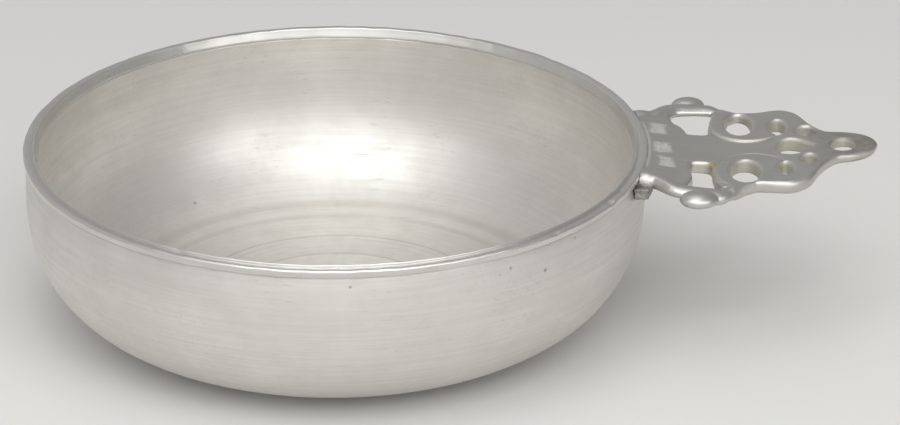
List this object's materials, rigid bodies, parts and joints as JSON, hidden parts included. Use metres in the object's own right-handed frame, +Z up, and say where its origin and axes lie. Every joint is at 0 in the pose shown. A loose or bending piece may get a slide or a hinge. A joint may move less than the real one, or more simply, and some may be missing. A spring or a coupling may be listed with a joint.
{
  "type": "porringer",
  "caption": "Shallow round pewter bowl with a full belly, flat base, moulded rim band and one flat pierced handle ending in a loop for hanging.",
  "frame": {"origin": "centre of the flat base, on the surface that the bowl stands on", "axes": "+Z up along the bowl's axis, +X from the bowl towards the handle's tip, +Y to the handle's left seen from the bowl"},
  "size_m": [0.1983, 0.145, 0.0425],
  "materials": {
    "pewter_bowl": "worn pewter, brushed in fine turning marks",
    "pewter_rim": "worn pewter, polished by handling",
    "pewter_handle": "worn cast pewter, satin",
    "solder": "dull solder line",
    "pewter_dark": "rough cast pewter, tarnished"
  },
  "bodies": {
    "root": {"bowl_body": "pewter_bowl", "rim_band": "pewter_rim", "handle": "pewter_handle", "root_solder": "solder", "root_bracket": "pewter_dark"}
  },
  "joints": []
}
